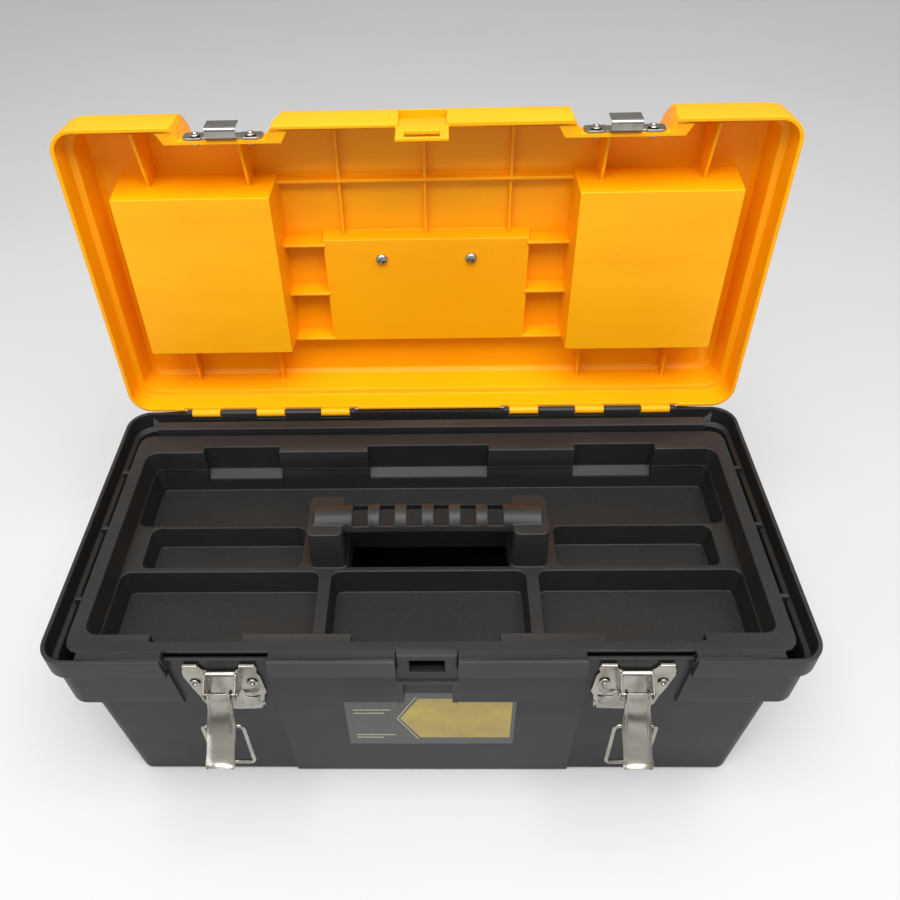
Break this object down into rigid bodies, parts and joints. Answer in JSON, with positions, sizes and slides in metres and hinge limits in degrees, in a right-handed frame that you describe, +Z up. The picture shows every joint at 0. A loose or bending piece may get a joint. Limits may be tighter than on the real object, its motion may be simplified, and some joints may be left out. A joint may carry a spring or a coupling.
{
  "type": "toolbox with tray",
  "caption": "Plastic toolbox with an open hinged lid, a lift-out tray with a slotted grip, metal draw latches and organiser boxes in the lid.",
  "frame": {"origin": "middle of the tub's underside, on the surface that it stands on", "axes": "+X along the box to the right as seen from the latches, -Y to the latch side, +Z up; the lid stands open behind"},
  "size_m": [0.4316, 0.2915, 0.3658],
  "materials": {
    "black_plastic": "satin moulded polypropylene with a fine grain",
    "yellow_plastic": "satin moulded polypropylene, slightly translucent",
    "smoke_plastic": "satin moulded polypropylene",
    "plated_steel": "bright nickel plate on pressed steel",
    "zinc_steel": "bright zinc plate",
    "label_film": "satin printed film"
  },
  "bodies": {
    "tub_body": {"tub": "black_plastic", "hinge_pin_left": "zinc_steel", "hinge_pin_right": "zinc_steel", "latch_plate_left": "plated_steel", "latch_plate_right": "plated_steel", "latch_rivet_left_1": "plated_steel", "latch_rivet_left_2": "plated_steel", "latch_rivet_right_1": "plated_steel", "latch_rivet_right_2": "plated_steel", "lever_pin_left": "zinc_steel", "lever_pin_right": "zinc_steel", "front_label": "label_film"},
    "lid": {"lid_shell": "yellow_plastic", "strike_plate_left": "plated_steel", "strike_plate_right": "plated_steel", "strike_rivet_left_1": "plated_steel", "strike_rivet_left_2": "plated_steel", "strike_rivet_right_1": "plated_steel", "strike_rivet_right_2": "plated_steel", "handle_bracket": "black_plastic", "handle_rod": "zinc_steel", "handle_screw_left": "zinc_steel", "handle_screw_right": "zinc_steel"},
    "tray_body": {"tray": "black_plastic"},
    "lever_left": {"latch_lever_left": "plated_steel"},
    "lever_right": {"latch_lever_right": "plated_steel"},
    "bail_left": {"latch_bail_left": "plated_steel"},
    "bail_right": {"latch_bail_right": "plated_steel"},
    "handle": {"carry_handle": "black_plastic"},
    "cover_left": {"organiser_cover_left": "smoke_plastic"},
    "cover_right": {"organiser_cover_right": "smoke_plastic"}
  },
  "joints": [
    {"name": "lid_hinge", "type": "hinge", "parent": "tub_body", "child": "lid", "pos_m": [0, 0.103, 0.1585], "axis": [-1, 0, 0], "range_deg": [-92, 0]},
    {"name": "tray_lift", "type": "slide", "parent": "tub_body", "child": "tray_body", "axis": [0, 0, 1], "range_m": [0, 0.16]},
    {"name": "lever_left_swing", "type": "hinge", "parent": "tub_body", "child": "lever_left", "pos_m": [-0.1158, -0.109, 0.1355], "axis": [-1, 0, 0], "range_deg": [-27, 95]},
    {"name": "bail_left_swing", "type": "hinge", "parent": "lever_left", "child": "bail_left", "pos_m": [-0.1158, -0.1186, 0.1189], "axis": [1, 0, 0], "range_deg": [-200, 35]},
    {"name": "lever_right_swing", "type": "hinge", "parent": "tub_body", "child": "lever_right", "pos_m": [0.1158, -0.109, 0.1355], "axis": [-1, 0, 0], "range_deg": [-27, 95]},
    {"name": "bail_right_swing", "type": "hinge", "parent": "lever_right", "child": "bail_right", "pos_m": [0.1158, -0.1186, 0.1189], "axis": [1, 0, 0], "range_deg": [-200, 35]},
    {"name": "carry_handle_fold", "type": "hinge", "parent": "lid", "child": "handle", "pos_m": [0, 0.14078, 0.26625], "axis": [1, 0, 0], "range_deg": [0, 90]},
    {"name": "cover_left_hinge", "type": "hinge", "parent": "lid", "child": "cover_left", "pos_m": [-0.197, 0.14907, 0.25995], "axis": [0, 0.0349, 0.9994], "range_deg": [0, 100]},
    {"name": "cover_right_hinge", "type": "hinge", "parent": "lid", "child": "cover_right", "pos_m": [0.197, 0.14907, 0.25995], "axis": [0, -0.0349, -0.9994], "range_deg": [0, 100]}
  ]
}
